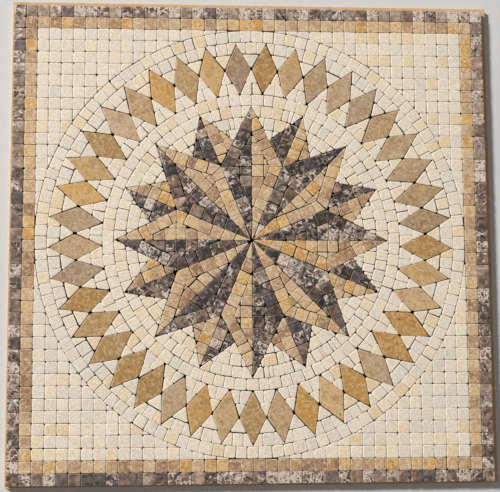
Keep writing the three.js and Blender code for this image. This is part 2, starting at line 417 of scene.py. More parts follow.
@dataclass(frozen=True)
class DarkMarble(StoneFinish):
    """Dark brown marble of crushed fragments with pale veins and white patches, slate grey in places."""

    vein: Colour = paint(232, 215, 198)
    patch: Colour = paint(232, 226, 218)
    slate: Colour = paint(66, 67, 74)
    ember: Colour = paint(92, 58, 48)
    soot: Colour = paint(42, 36, 34)
    dust: Colour = paint(158, 134, 118)

    def mark(
        self, sketch: Sketch, grain: Socket, base: Socket, mottle: Socket, own: Sequence[Socket]
    ) -> tuple[Socket, Socket]:
        """Draws fragments in other browns, plainer in some stones, then pale veins and white patches."""
        drift = sketch.node("TexNoise", {"Vector": grain, "Scale": 210.0, "Detail": 3.0}).outputs["Color"]
        bent = sketch.vector("ADD", grain, sketch.scaled(drift, 0.007))
        cells = sketch.node("TexVoronoi", {"Vector": bent, "Scale": 300.0}).outputs["Color"]
        shade, kind, _ = sketch.node("SeparateColor", {"Color": cells}).outputs
        busy = sketch.span(own[0], 0.2, 0.45, 0.3, 1.0)
        cool = sketch.mix(sketch.span(own[1], 0.1, 0.16, 0.55, 0.0), base, self.slate)
        pale = sketch.tint(cool, self.dust, sketch.span(shade, 0.55, 0.85, 0.0, 0.75), busy)
        deep = sketch.tint(pale, self.soot, sketch.span(shade, 0.05, 0.4, 0.95, 0.0), busy)
        warm = sketch.tint(deep, self.ember, sketch.span(kind, 0.65, 0.9, 0.0, 0.6), busy)
        lightness = sketch.stored("tone")
        cover = sketch.math("MULTIPLY_ADD", lightness, 0.2, sketch.span(own[0], 0.1, 1.0, 0.29, 0.56))
        web = Effect.VEIN_WEB.place(sketch, vector=grain, scale=120.0, warp=0.012, width=0.12, cover=cover)
        crackle = sketch.math("MULTIPLY_ADD", lightness, 0.25, sketch.span(own[0], 0.45, 1.0, 0.19, 0.5))
        fine = Effect.VEIN_WEB.place(sketch, vector=grain, scale=290.0, warp=0.006, width=0.2, cover=crackle)
        veins = sketch.math("MAXIMUM", web, sketch.math("MULTIPLY", fine, 0.95))
        veined = sketch.tint(warm, self.vein, veins, 0.92)
        cloud = sketch.noise(bent, 150.0, detail=6.0, roughness=0.75)
        start = sketch.span(own[1], 0.3, 1.0, 0.72, 0.56)
        white = sketch.span(cloud, start, sketch.math("ADD", start, 0.04))
        colour = sketch.tint(veined, self.patch, white, 0.85)
        height = sketch.math("MULTIPLY_ADD", veins, -0.35, mottle)
        return colour, height


@dataclass(frozen=True)
class GoldTravertine(StoneFinish):
    """Warm travertine with soft bands, small pits and rusty spots."""

    rust: Colour = paint(157, 107, 62)
    bloom: Colour = paint(236, 215, 182)
    amber: Colour = paint(202, 141, 64)
    pit: Colour = paint(92, 62, 38)

    def mark(
        self, sketch: Sketch, grain: Socket, base: Socket, mottle: Socket, own: Sequence[Socket]
    ) -> tuple[Socket, Socket]:
        """Draws faint bands, rusty threads, pale bloom and pits."""
        band = sketch.noise(sketch.vector("MULTIPLY", grain, (1.0, 0.3, 1.0)), 260.0, roughness=0.6)
        reach = sketch.span(own[0], 0.2, 1.0, 0.12, 0.5)
        patch = sketch.noise(grain, 140.0, detail=4.0, roughness=0.65)
        patched = sketch.veil(base, self.amber, patch, 0.52, 0.6, 0.42)
        banded = sketch.veil(patched, self.rust, band, 0.5, 0.66, reach)
        bloom = sketch.noise(grain, 230.0, detail=5.0, roughness=0.7)
        bloomed = sketch.veil(banded, self.bloom, bloom, 0.49, 0.62, 0.55)
        shadow = sketch.noise(grain, 430.0, detail=4.0, roughness=0.75)
        speckled = sketch.veil(bloomed, self.rust, shadow, 0.5, 0.62, 0.6)
        cover = sketch.span(own[1], 0.4, 1.0, 0.2, 0.5)
        web = Effect.VEIN_WEB.place(sketch, vector=grain, scale=120.0, warp=0.012, width=0.08, cover=cover)
        threaded = sketch.tint(speckled, self.rust, web, 0.5)
        pits = Effect.PITS.place(sketch, vector=grain, scale=520.0, size=0.45)
        colour = sketch.tint(threaded, self.pit, pits, 0.75)
        height = sketch.math("MULTIPLY_ADD", pits, -0.9, mottle)
        return colour, height


@dataclass(frozen=True)
class CreamLimestone(StoneFinish):
    """Pale cream limestone with hardly any pattern."""

    honey: Colour = paint(228, 198, 152)
    shade: Colour = paint(192, 170, 138)
    chalk: Colour = paint(248, 240, 226)
    hairline: Colour = paint(196, 166, 128)
    pit: Colour = paint(160, 136, 106)

    def mark(
        self, sketch: Sketch, grain: Socket, base: Socket, mottle: Socket, own: Sequence[Socket]
    ) -> tuple[Socket, Socket]:
        """Draws faint warm clouds, a sandy grain, a few hairlines and tiny pits."""
        warm = sketch.noise(grain, 90.0)
        warmth = sketch.span(own[0], 0.3, 1.0, 0.12, 0.5)
        warmed = sketch.veil(base, self.honey, warm, 0.48, 0.72, warmth)
        sand = sketch.noise(grain, 460.0, detail=4.0, roughness=0.75)
        shaded = sketch.veil(warmed, self.shade, sand, 0.5, 0.62, 0.45)
        sanded = sketch.veil(shaded, self.chalk, sand, 0.5, 0.39, 0.4)
        cover = sketch.span(own[1], 0.6, 1.0, 0.22, 0.5)
        web = Effect.VEIN_WEB.place(sketch, vector=grain, scale=85.0, warp=0.01, width=0.04, cover=cover)
        lined = sketch.tint(sanded, self.hairline, web, 0.4)
        pits = Effect.PITS.place(sketch, vector=grain, scale=620.0, size=0.34)
        colour = sketch.tint(lined, self.pit, pits, 0.4)
        height = sketch.math("MULTIPLY_ADD", pits, -0.7, mottle)
        return colour, height


@dataclass(frozen=True)
class DiamondTravertine(StoneFinish):
    """Matt golden travertine in larger pieces, with peppery pits and a few pale seams."""

    seam: Colour = paint(224, 200, 166)
    pepper: Colour = paint(122, 90, 58)
    stain: Colour = paint(150, 108, 56)
    bloom: Colour = paint(218, 192, 152)
    pit: Colour = paint(78, 54, 36)

    def mark(
        self, sketch: Sketch, grain: Socket, base: Socket, mottle: Socket, own: Sequence[Socket]
    ) -> tuple[Socket, Socket]:
        """Draws speckle, darker stains, bloom, a pale seam in some stones, and pits."""
        stain = sketch.noise(grain, 75.0, detail=6.0, roughness=0.7)
        stained = sketch.veil(base, self.stain, stain, 0.48, 0.68, 0.6)
        bloom = sketch.noise(grain, 220.0, detail=5.0, roughness=0.75)
        bloomed = sketch.veil(stained, self.bloom, bloom, 0.48, 0.6, 0.55)
        speckle = sketch.noise(grain, 520.0, detail=4.0, roughness=0.75)
        peppered = sketch.veil(bloomed, self.pepper, speckle, 0.52, 0.64, 0.7)
        cover = sketch.span(own[0], 0.5, 1.0, 0.2, 0.55)
        web = Effect.VEIN_WEB.place(sketch, vector=grain, scale=30.0, warp=0.03, width=0.03, cover=cover)
        seamed = sketch.tint(peppered, self.seam, web, 0.6)
        pits = Effect.PITS.place(sketch, vector=grain, scale=300.0, size=0.36)
        colour = sketch.tint(seamed, self.pit, pits, 0.85)
        height = sketch.math("MULTIPLY_ADD", pits, -0.9, mottle)
        return colour, height


@dataclass(frozen=True)
class PlywoodBoard(Finish):
    """Thin plywood: a warm face sheet, and plies that show as bands along the sawn sides."""

    plies: int = 5
    thickness: float = 9 * MM
    long_grain: tuple[float, float, float] = (6.0, 130.0, 300.0)
    cross_grain: tuple[float, float, float] = (130.0, 6.0, 300.0)

    def draw(self, sketch: Sketch) -> None:
        """Draws the grain of the face sheet and the bands of the sides."""
        place = sketch.object_place()
        height = sketch.node("SeparateXYZ", {0: place}).outputs["Z"]
        layer = sketch.math("FLOOR", sketch.math("DIVIDE", height, self.thickness / self.plies))
        crosswise = sketch.math("PINGPONG", layer, 1.0)
        along, across = (
            sketch.noise(sketch.vector("MULTIPLY", place, stretch), 3.0, detail=5.0, roughness=0.65)
            for stretch in (self.long_grain, self.cross_grain)
        )
        grain = sketch.node("Mix", {"Factor": crosswise, 2: along, 3: across}, data_type="FLOAT").outputs[0]
        stops = ((0.25, paint(220, 176, 126)), (0.5, paint(243, 206, 158)), (0.75, paint(250, 222, 180)))
        wood = sketch.ramp(grain, stops)
        banded = sketch.tint(wood, paint(146, 98, 60), crosswise, 0.4)
        dust = sketch.noise(place, 45.0, detail=4.0, roughness=0.7)
        soiled = sketch.veil(banded, paint(130, 102, 78), dust, 0.55, 0.8, 0.35)
        sketch.surface(soiled, 0.78, grain, 0.12 * MM, 0.25)


@dataclass(frozen=True)
class DarkBedding(Finish):
    """Dark adhesive that shows at the bottom of the joints."""

    def draw(self, sketch: Sketch) -> None:
        """Draws a lumpy dark paste with grey dust in it."""
        place = sketch.object_place()
        lumps = sketch.noise(place, 420.0, detail=4.0, roughness=0.65)
        dust = sketch.noise(place, 90.0)
        paste = sketch.ramp(lumps, ((0.3, paint(30, 26, 24)), (0.7, paint(58, 50, 44))))
        dusty = sketch.veil(paste, paint(104, 92, 78), dust, 0.5, 0.8, 0.4)
        sketch.surface(dusty, 0.9, lumps, 0.4 * MM, 0.2)


@dataclass(frozen=True)
class StudioFloor(Finish):
    """The plain pale floor."""

    def draw(self, sketch: Sketch) -> None:
        """Draws a matt off-white with hardly visible clouds."""
        clouds = sketch.noise(sketch.object_place(), 3.0)
        colour = sketch.ramp(clouds, ((0.3, paint(205, 204, 201)), (0.7, paint(210, 209, 206))))
        sketch.surface(colour, 0.85, None, 0.0, 0.2)


DARK = DarkMarble(
    name="dark_marble",
    slot="dark_stone",
    stops=(
        (0.0, paint(39, 35, 32)),
        (0.2, paint(64, 57, 52)),
        (0.4, paint(97, 83, 73)),
        (0.6, paint(138, 116, 99)),
        (0.8, paint(174, 152, 132)),
        (1.0, paint(206, 188, 166)),
    ),
    cast=(1.05, 0.88, 0.8),
    cloud_scale=120.0,
    cloud_reach=0.52,
    soil=paint(66, 54, 46),
    soil_strength=0.5,
    # Rim crest: partly edge wear, partly painted highlight.
    wear_and_highlight_colour=paint(196, 178, 162),
    wear_and_highlight_strength=0.35,
    roughness=0.5,
    specular=0.4,
)
GOLD = GoldTravertine(
    name="gold_travertine",
    slot="gold_stone",
    stops=(
        (0.0, paint(141, 105, 79)),
        (0.2, paint(172, 138, 105)),
        (0.45, paint(200, 171, 136)),
        (0.7, paint(216, 189, 153)),
        (0.85, paint(221, 182, 112)),
        (1.0, paint(202, 150, 76)),
    ),
    cast=(1.0, 0.995, 0.975),
    cloud_reach=0.45,
    soil=paint(80, 51, 27),
    soil_strength=0.82,
    # Rim crest: partly edge wear, partly painted highlight.
    wear_and_highlight_colour=paint(244, 224, 192),
    wear_and_highlight_strength=0.6,
)
CREAM = CreamLimestone(
    name="cream_limestone",
    slot="cream_stone",
    stops=(
        (0.0, paint(220, 208, 191)),
        (0.3, paint(227, 214, 194)),
        (0.5, paint(232, 218, 196)),
        (0.68, paint(233, 216, 189)),
        (0.85, paint(231, 209, 171)),
        (1.0, paint(226, 199, 155)),
    ),
    cast=(1.0, 0.985, 0.985),
    cloud_scale=45.0,
    cloud_reach=0.2,
    soil=paint(182, 141, 91),
    soil_strength=0.5,
    # Rim crest: partly edge wear, partly painted highlight.
    wear_and_highlight_colour=paint(255, 247, 232),
    wear_and_highlight_strength=0.8,
    roughness=0.62,
)
DIAMOND = DiamondTravertine(
    name="diamond_travertine",
    slot="diamond_stone",
    stops=(
        (0.0, paint(198, 171, 143)),
        (0.25, paint(201, 171, 136)),
        (0.5, paint(210, 175, 127)),
        (0.75, paint(217, 173, 107)),
        (1.0, paint(209, 154, 74)),
    ),
    cast=(0.55, 0.51, 0.46),
    cloud_scale=40.0,
    cloud_reach=0.3,
    soil=paint(96, 68, 46),
    soil_strength=0.6,
    # Rim crest: partly edge wear, partly painted highlight.
    wear_and_highlight_colour=paint(222, 196, 158),
    wear_and_highlight_strength=0.35,
    roughness=0.66,
)
BOARD = PlywoodBoard(name="plywood", slot="board")
BEDDING = DarkBedding(name="dark_bedding", slot="bedding")
FLOOR = StudioFloor(name="studio_floor", slot="")


@dataclass(frozen=True)
class ToneMix:
    """Which tones from 0 to 1 the stones of an area have, each with its share.

    The tones drift over the panel. They may rise a little at its top and bottom and fall at its sides, and
    may slope to the right and upwards, by so much for each metre.
    """

    shares: tuple[tuple[float, float], ...]
    spread: float = 0.07
    drift: float = 0.0
    drift_scale: float = 9.0
    upright: float = 0.0
    slope: tuple[float, float] = (0.0, 0.0)

    def pick(self, dice: random.Random, place: Vector) -> float:
        """Draws the tone of the stone at a place."""
        tones, weights = zip(*self.shares)
        tone = dice.choices(tones, weights)[0] + dice.uniform(-self.spread, self.spread)
        tone += self.drift * noise.noise(place * self.drift_scale)
        tone += self.upright * (abs(place.y) - abs(place.x)) / place.length
        tone += self.slope[0] * place.x + self.slope[1] * place.y
        return min(1.0, max(0.0, tone))


class Tones(Enum):
    """The tones of each area."""

    DARK_BORDER = ToneMix(
        ((0.32, 1.2), (0.43, 1.8), (0.54, 2.6), (0.64, 3.0), (0.74, 2.4), (0.84, 1.4)),
        drift=0.1,
        slope=(0.25, 0.3),
    )
    DARK_STAR = ToneMix(((0.0, 2.6), (0.16, 3.2), (0.32, 3.0), (0.48, 2.0), (0.64, 1.1), (0.9, 0.35)))
    GOLD_BORDER = ToneMix(
        ((0.03, 1.5), (0.2, 2.6), (0.4, 3.0), (0.6, 2.6), (0.78, 1.3), (0.97, 1.0)), drift=0.3
    )
    GOLD_STAR = ToneMix(
        ((0.04, 0.9), (0.24, 1.7), (0.45, 2.8), (0.64, 3.0), (0.8, 1.3), (0.96, 0.9)), drift=0.2
    )
    CREAM = ToneMix(
        ((0.08, 2.2), (0.26, 3.2), (0.42, 2.4), (0.6, 1.6), (0.8, 1.1), (0.97, 0.4)), drift=0.3
    )
    CREAM_INNER = ToneMix(
        ((0.1, 0.9), (0.3, 1.6), (0.47, 3.2), (0.6, 3.0), (0.8, 1.3), (0.97, 0.3)), drift=0.2
    )
    DIAMOND = ToneMix(
        ((0.05, 1.2), (0.3, 1.8), (0.5, 2.0), (0.72, 1.8), (0.98, 1.1)), upright=0.12, slope=(0, -0.3)
    )


@dataclass(frozen=True)
class StoneLay:
    """How carefully the stones of one area were cut, worn and laid, in metres and degrees."""

    joints: tuple[float, ...] = mm(0.05, 0.1, 0.2, 0.3, 0.5)
    joint_swing: tuple[float, float] = (0.8, 1.2)
    skew: float = 0.8
    corners: tuple[float, ...] = mm(0.3, 0.45, 0.6, 0.8, 1.1, 1.9)
    nip: float = 2.2 * MM
    nip_swing: tuple[float, float] = (0.6, 1.3)
    sharp_turn: float = 125.0
    rims: tuple[float, ...] = mm(0.45, 0.65, 0.85)
    rim_start: float = 0.35
    ragged: float = 0.11 * MM
    ragged_step: float = 6.5 * MM
    ragged_slip: float = 0.08
    shift: float = 0.07 * MM
    turn: float = 0.5
    tilt: float = 0.5
    drop: float = 0.35 * MM
    pillow: float = 0.12 * MM
    pillow_margin: float = 0.9 * MM
    least_pillow: float = 0.3
    soil_depth: float = 0.9 * MM
    least_width: float = 2.0 * MM
    least_side: float = 0.25 * MM
    least_rim: float = 0.04 * MM


@dataclass
class PanelPlan:
    """The sizes of the tile pattern in metres, and where the frame puts it."""

    tiles_per_side: int = 40
    joint: float = 0.8 * MM
    outer_ring_width: float = 15 * MM
    outer_ring_tiles: int = 113
    tip_setback: float = 1.3 * MM
    diamonds: int = 41
    diamond_length: float = 66.8 * MM
    inner_ring_width: float = 14.5 * MM
    inner_ring_tiles: int = 79
    front_points: int = 8
    star_setback: float = 0.9 * MM
    front_waist_radius: float = 102 * MM
    rear_notch_angle: float = 10.0
    star_eye_radius: float = 2.1 * MM
    centre: Vector = field(init=False)

    def __post_init__(self) -> None:
        """Reads the mosaic's place from the frame and works out the radii."""
        low, high = (Vector(corner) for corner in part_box("dark_border_top"))
        bed_low, bed_high = (Vector(corner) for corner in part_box("adhesive_bed"))
        self.centre = Vector(((bed_low.x + bed_high.x) / 2, (bed_low.y + bed_high.y) / 2, 0))
        self.seat = bed_high.z
        self.face = high.z
        self.pitch = (high.x - low.x + self.joint) / self.tiles_per_side
        self.half = self.tiles_per_side * self.pitch / 2
        self.ring_radius = self.half - 2 * self.pitch
        self.outer_tip = self.ring_radius - self.outer_ring_width - self.tip_setback
        self.waist = self.outer_tip - self.diamond_length / 2
        self.inner_tip = self.outer_tip - self.diamond_length
        self.star_radius = self.inner_tip - self.inner_ring_width - self.star_setback
        self.diamond_pitch = 360 / self.diamonds
        self.point_pitch = 360 / self.front_points
        self.notch_radius = self.find_notch().length

    def find_notch(self) -> Vector:
        """Gives the notch clockwise of the front point at the top."""
        tip = polar(self.star_radius, 0)
        along = polar(self.front_waist_radius, self.point_pitch / 2) - tip
        ray = polar(1, self.rear_notch_angle)
        share = -tip.cross(ray).z / along.cross(ray).z
        return tip + along * share


class Stone:
    """One stone, cut from its flat outline in a mesh of its own."""

    def __init__(self, outline: Sequence[Vector], lay: StoneLay, dice: random.Random) -> None:
        """Starts from the outline between the middles of its joints.

        Args:
            outline: The corners, in order.
            lay: How the stones of this area are cut and laid.
            dice: The area's dice.
        """
        self.lay = lay
        self.dice = dice
        self.mesh = bmesh.new()
        self.mesh.faces.new([self.mesh.verts.new(corner) for corner in outline])
        self.mesh.normal_update()

    def spread(self, amount: float) -> float:
        """Draws a value between minus and plus an amount."""
        return self.dice.uniform(-amount, amount)

    def cut_sides(self) -> bool:
        """Saws every side back by half its joint, at a slightly wrong angle.

        Returns:
            True while enough of the stone is left.
        """
        middle = self.upper_face().calc_center_median()
        sides = [(edge.verts[0].co.copy(), edge.verts[1].co.copy()) for edge in self.mesh.edges]
        for start, end in sides:
            outwards = -beside(start, end, middle)
            back = self.dice.choice(self.lay.joints) * self.dice.uniform(*self.lay.joint_swing) / 2
            wrong = Matrix.Rotation(math.radians(self.spread(self.lay.skew)), 3, "Z") @ outwards
            bmesh.ops.bisect_plane(
                self.mesh,
                geom=whole(self.mesh),
                dist=CUT_TOLERANCE,
                plane_co=(start + end) / 2 - outwards * back,
                plane_no=wrong,
                clear_outer=True,
            )
            if not self.mesh.faces:
                return False
        self.join_close_points()
        return len(self.mesh.faces) == 1 and mean_width(self.upper_face()) > self.lay.least_width

    def join_close_points(self) -> None:
        """Joins corners that lie too close together for a side between them."""
        bmesh.ops.remove_doubles(self.mesh, verts=self.mesh.verts[:], dist=self.lay.least_side)

    def bevel(self, items: Sequence[BMVert | BMEdge], offset: float, affect: str, segments: int) -> None:
        """Bevels points or edges of the stone, as far as there is room."""
        bmesh.ops.bevel(
            self.mesh,
            geom=items,
            offset=offset,
            offset_type="OFFSET",
            segments=segments,
            profile=0.5,
            affect=affect,
            clamp_overlap=True,
            material=-1,
        )

    def chip_corners(self) -> None:
        """Wears every corner in plan, some more than others, and nips off the sharp ones."""
        for corner in self.mesh.verts[:]:
            if math.degrees(corner.calc_edge_angle(0)) > self.lay.sharp_turn:
                chip = self.lay.nip * self.dice.uniform(*self.lay.nip_swing)
            else:
                chip = self.dice.choice(self.lay.corners)
            self.bevel([corner], chip, "VERTICES", segments=1)
        self.join_close_points()

    def roughen_sides(self) -> None:
        """Moves points along the longer sides a little off the straight line."""
        for side in self.mesh.edges[:]:
            start, end = (corner.co.copy() for corner in side.verts)
            pieces = int((end - start).length / self.lay.ragged_step) + 1
            across = beside(start, end, ORIGIN)
            first = side.verts[0]
            for left in range(pieces, 1, -1):
                share = 1 / left + self.spread(self.lay.ragged_slip)
                side, point = bmesh.utils.edge_split(side, first, share)
                point.co += across * self.spread(self.lay.ragged)
                first = point
                side = next(edge for edge in point.link_edges if end in [spot.co for spot in edge.verts])

    def settle(self, plan: PanelPlan) -> None:
        """Moves the stone to its place, a little turned, shifted, tilted and lowered."""
        middle = self.upper_face().calc_center_median()
        lean = [math.radians(self.spread(self.lay.tilt)) for _ in range(2)]
        turn = Euler((*lean, math.radians(self.spread(self.lay.turn)))).to_matrix()
        slide = Vector((self.spread(self.lay.shift), self.spread(self.lay.shift), 0))
        bmesh.ops.rotate(self.mesh, verts=self.mesh.verts[:], cent=middle, matrix=turn)
        rise = max(corner.co.z for corner in self.mesh.verts)
        slide.z = plan.face - self.lay.pillow - rise - self.dice.uniform(0, self.lay.drop)
        bmesh.ops.translate(self.mesh, verts=self.mesh.verts[:], vec=plan.centre + slide)

    def thicken(self, seat: float) -> None:
        """Draws the stone down to the bedding."""
        lower = bmesh.ops.extrude_face_region(self.mesh, geom=self.mesh.faces[:])
        for item in lower["geom"]:
            if isinstance(item, BMVert):
                item.co.z = seat
        bmesh.ops.recalc_face_normals(self.mesh, faces=self.mesh.faces[:])

    def wear_rim(self) -> None:
        """Rounds the upper rim, and raises the middle of a wide stone a little."""
        self.bevel(self.upper_face().edges[:], self.dice.choice(self.lay.rims), "EDGES", segments=2)
        bmesh.ops.remove_doubles(self.mesh, verts=self.mesh.verts[:], dist=self.lay.least_rim)
        top = self.upper_face()
        shrink = 1 - 2 * self.lay.pillow_margin / mean_width(top)
        if shrink > self.lay.least_pillow:
            bmesh.ops.inset_individual(self.mesh, faces=[top], thickness=0, depth=0)
            middle = Matrix.Translation(-top.calc_center_median())
            bmesh.ops.scale(self.mesh, verts=top.verts[:], vec=(shrink, shrink, 1), space=middle)
            bmesh.ops.translate(self.mesh, verts=top.verts[:], vec=(0, 0, self.lay.pillow))

    def upper_face(self) -> BMFace:
        """Gives the flat upper face: the one with the largest area seen from above."""
        self.mesh.normal_update()
        return max(self.mesh.faces, key=lambda side: side.calc_area() * side.normal.z)

    def mark(self, tone: float, grain: Vector) -> None:
        """Stores the stone's tone, its own stretch of veins, and how far each point is down the rim."""
        tones = self.mesh.faces.layers.float.new("tone")
        grains = self.mesh.faces.layers.float_vector.new("grain")
        rims = self.mesh.verts.layers.float.new("rim")
        for side in self.mesh.faces:
            side[tones] = tone
            side[grains] = grain
            side.smooth = True
        top = self.upper_face()
        top.smooth = False
        middle, upwards = top.calc_center_median(), top.normal.copy()
        start = self.lay.rim_start
        for point in self.mesh.verts:
            depth = upwards.dot(middle - point.co) - self.lay.pillow
            point[rims] = start + (1 - start) * min(1.0, max(0.0, depth / self.lay.soil_depth))
        for point in top.verts:
            point[rims] = 0.0


def mean_width(tile: BMFace) -> float:
    """Gives the width of a tile: a square's side, and less for a sliver."""
    return 4 * tile.calc_area() / max(tile.calc_perimeter(), 1e-9)


class StoneSheet:
    """A flat sheet of stone round the mosaic's centre, sawn into tiles that are set as separate stones.

    A joint that is sawn by hand lies off its place by up to a share of the pitch, and askew by up to some
    degrees. Each stone takes its veins from its own place within the grain's reach, in metres.
    """

    joint_waver = 0.12
    joint_skew = 4.0
    grain_reach = 4.0

    def __init__(
        self,
        name: str,
        finish: StoneFinish,
        tones: Tones,
        lay: StoneLay = StoneLay(),
        loose_lay: StoneLay = StoneLay(),
    ) -> None:
        """Starts an empty sheet.

        Args:
            name: The node that the sheet stands for, which also seeds its dice.
            finish: The stones' finish.
            tones: The stones' tones.
            lay: How most of the stones are laid.
            loose_lay: How the stones are laid that were fitted by hand.
        """
        self.name = name
        self.finish = finish
        self.tones = tones.value
        self.lays = (lay, loose_lay)
        self.dice = random.Random(zlib.crc32(name.encode()))
        self.mesh = bmesh.new()
        self.loose = self.mesh.faces.layers.int.new("loose")

    def plate(self, corners: Sequence[Vector]) -> list[BMFace]:
        """Lays one flat plate with the given corners."""
        return [self.mesh.faces.new([self.mesh.verts.new(corner) for corner in corners])]

    def arc(self, inner: float, outer: float, start: float, stops: Sequence[float]) -> list[BMFace]:
        """Lays a row of ring tiles.

        Args:
            inner: Inner radius of the row.
            outer: Outer radius of the row.
            start: Angle of the first joint, in degrees clockwise from the top.
            stops: Angles of the joints after it.

        Returns:
            One face for each tile.
        """
        edge = self.mesh.edges.new([self.mesh.verts.new(polar(radius, start)) for radius in (inner, outer)])
        tiles: list[BMFace] = []
        for stop in stops:
            swept = bmesh.ops.spin(
                self.mesh,
                geom=[*edge.verts, edge],
                cent=(0, 0, 0),
                axis=(0, 0, -1),
                angle=math.radians(stop - start),
                steps=1,
            )
            edge = next(item for item in swept["geom_last"] if isinstance(item, BMEdge))
            tiles.append(edge.link_faces[0])
            start = stop
        return tiles

    def bisect(self, tiles: Sequence[BMFace], through: Vector, normal: Vector, clear: bool) -> list[BMFace]:
        """Cuts tiles along a line and may drop what lies on the normal's side of it.

        Args:
            tiles: The faces to cut.
            through: A point of the line.
            normal: The line's normal.
            clear: True to drop the part on the normal's side.

        Returns:
            The faces that are left.
        """
        if not tiles:
            return []
        geometry = dict.fromkeys(item for tile in tiles for item in (tile, *tile.edges, *tile.verts))
        result = bmesh.ops.bisect_plane(
            self.mesh,
            geom=list(geometry),
            dist=CUT_TOLERANCE,
            plane_co=through,
            plane_no=normal,
            clear_outer=clear,
        )
        return [item for item in result["geom"] if isinstance(item, BMFace)]

    def trim(self, tiles: Sequence[BMFace], through: Vector, away: Vector) -> list[BMFace]:
        """Drops the part of some tiles that lies beyond a line, on the side that away points to."""
        return self.bisect(tiles, through, away, clear=True)

    def saw(self, tiles: Sequence[BMFace], through: Vector, along: Vector) -> list[BMFace]:
        """Cuts tiles along a line."""
        return self.bisect(tiles, through, Vector((-along.y, along.x, 0)), clear=False)

    def saw_across(
        self,
        tiles: Sequence[BMFace],
        start: Vector,
        end: Vector,
        pitch: float,
        lead: float = 0.0,
        tail: float = 0.0,
    ) -> None:
        """Cuts a strip into tiles by uneven joints across it.

        Args:
            tiles: The strip.
            start: Where the strip begins.
            end: Where it ends.
            pitch: The usual length of a tile.
            lead: How much longer the first tile is.
            tail: How much longer the last tile is.
        """
        way = (end - start).normalized()
        length = (end - start).length - lead - tail
        count = max(1, round(length / pitch))
        for step in range(count + 1):
            if (step == 0 and lead == 0) or (step == count and tail == 0):
                continue
            off = self.dice.uniform(-self.joint_waver, self.joint_waver) * pitch
            askew = math.radians(self.dice.uniform(-self.joint_skew, self.joint_skew))
            place = start + way * (lead + length * step / count + off)
            tiles = self.bisect(tiles, place, Matrix.Rotation(askew, 3, "Z") @ way, clear=False)

    def part(self, tiles: Sequence[BMFace]) -> Sequence[BMFace]:
        """Parts some tiles along the joints between them."""
        shared = dict.fromkeys(edge for tile in tiles for edge in tile.edges if len(edge.link_faces) > 1)
        bmesh.ops.split_edges(self.mesh, edges=list(shared))
        return tiles

    def loosen(self, tiles: Sequence[BMFace]) -> Sequence[BMFace]:
        """Marks some tiles as fitted by hand."""
        for tile in tiles:
            tile[self.loose] = 1
        return tiles

    def turn(self, degrees: float) -> None:
        """Turns the whole sheet clockwise round the mosaic's centre."""
        turn = Matrix.Rotation(-math.radians(degrees), 3, "Z")
        bmesh.ops.rotate(self.mesh, verts=self.mesh.verts[:], cent=(0, 0, 0), matrix=turn)

    def set_stones(self, plan: PanelPlan) -> bmesh.types.BMesh:
        """Cuts a worn stone from every tile and sets them all on the bedding.

        Args:
            plan: The pattern's sizes and place.

        Returns:
            The stones, in one mesh.
        """
        stones = bmesh.new()
        bench = bpy.data.meshes.new("bench")
        reach = self.grain_reach
        for tile in self.mesh.faces:
            stone = Stone([corner.co for corner in tile.verts], self.lays[tile[self.loose]], self.dice)
            if stone.cut_sides():
                stone.chip_corners()
                stone.roughen_sides()
                stone.settle(plan)
                stone.thicken(plan.seat)
                stone.wear_rim()
                tone = self.tones.pick(self.dice, tile.calc_center_median())
                stone.mark(tone, Vector([self.dice.uniform(-reach, reach) for _ in range(3)]))
                stone.mesh.to_mesh(bench)
                stones.from_mesh(bench)
            stone.mesh.free()
        bpy.data.meshes.remove(bench)
        self.mesh.free()
        return stones

    def finish_piece(self, plan: PanelPlan) -> bpy.types.Object:
        """Sets the stones and makes the piece that stands for the node of the sheet's name.

        Args:
            plan: The pattern's sizes and place.

        Returns:
            The piece.
        """
        return add_piece(f"{self.name}_stones", self.set_stones(plan), self.finish, [self.name])


def make_object(name: str, mesh: bmesh.types.BMesh, finish: Finish) -> bpy.types.Object:
    """Makes an object with a finish from a mesh, which is used up."""
    data = bpy.data.meshes.new(name)
    mesh.to_mesh(data)
    mesh.free()
    data.materials.append(finish.material())
    return link_object(name, data)


def add_piece(
    name: str, mesh: bmesh.types.BMesh, finish: Finish, nodes: Sequence[str]
) -> bpy.types.Object:
    """Makes a piece of the panel from a mesh and takes it up in the frame.

    Args:
        name: The piece's name.
        mesh: Its mesh, in the panel's own place.
        finish: Its finish.
        nodes: The nodes that it replaces.

    Returns:
        The piece.
    """
    piece = make_object(name, mesh, finish)
    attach(piece, "root")
    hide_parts(*nodes)
    LOG.info("%s: %d faces, for %s", name, len(piece.data.polygons), ", ".join(nodes))
    return piece


